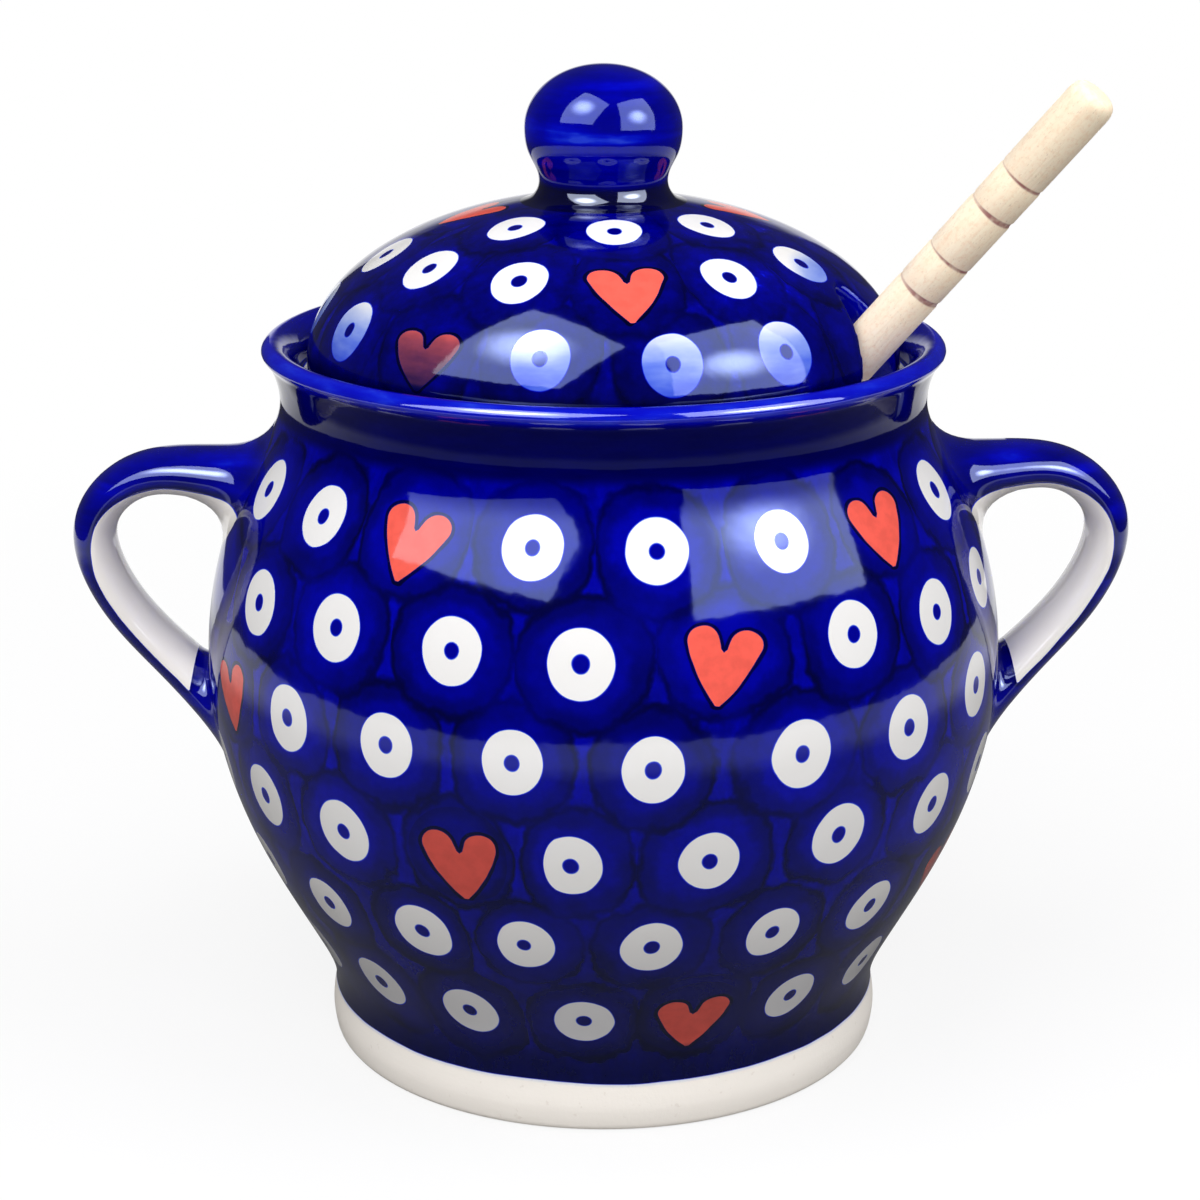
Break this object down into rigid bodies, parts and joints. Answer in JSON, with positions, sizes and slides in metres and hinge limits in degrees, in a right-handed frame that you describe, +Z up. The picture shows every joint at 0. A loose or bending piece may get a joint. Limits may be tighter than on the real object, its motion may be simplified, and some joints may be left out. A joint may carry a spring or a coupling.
{
  "type": "honey pot",
  "caption": "Bellied stoneware honey pot with two strap handles, a loose domed lid with a ball knob, and a turned wooden dipper leaning out through a notch in the lid.",
  "frame": {"origin": "middle of the foot ring's bottom face, on the pot's turning axis", "axes": "+Z up the pot's axis, X through the two handles, the stick leaning out over the rim towards +X and -Y"},
  "size_m": [0.1606, 0.1206, 0.1504],
  "materials": {
    "pot_glaze": "glossy cobalt glaze with stamped white dots and red hearts, clear inside, bare foot",
    "handle_glaze": "glossy cobalt glaze outside, white inside the loop",
    "lid_glaze": "glossy cobalt glaze with stamped white dots and red hearts, pale clear glaze underneath",
    "knob_glaze": "glossy plain cobalt glaze",
    "beech": "bare turned beech with burnt rings"
  },
  "bodies": {
    "pot": {"pot_body": "pot_glaze", "handle_left": "handle_glaze", "handle_right": "handle_glaze"},
    "cover": {"lid": "lid_glaze", "lid_knob": "knob_glaze"},
    "dipper": {"dipper": "beech"}
  },
  "joints": [
    {"name": "lid_lift", "type": "slide", "parent": "pot", "child": "cover", "axis": [0, 0, 1], "range_m": [0, 0.05]},
    {"name": "dipper_draw", "type": "slide", "parent": "pot", "child": "dipper", "axis": [0.5819, -0.2838, 0.7621], "range_m": [0, 0.06]}
  ]
}
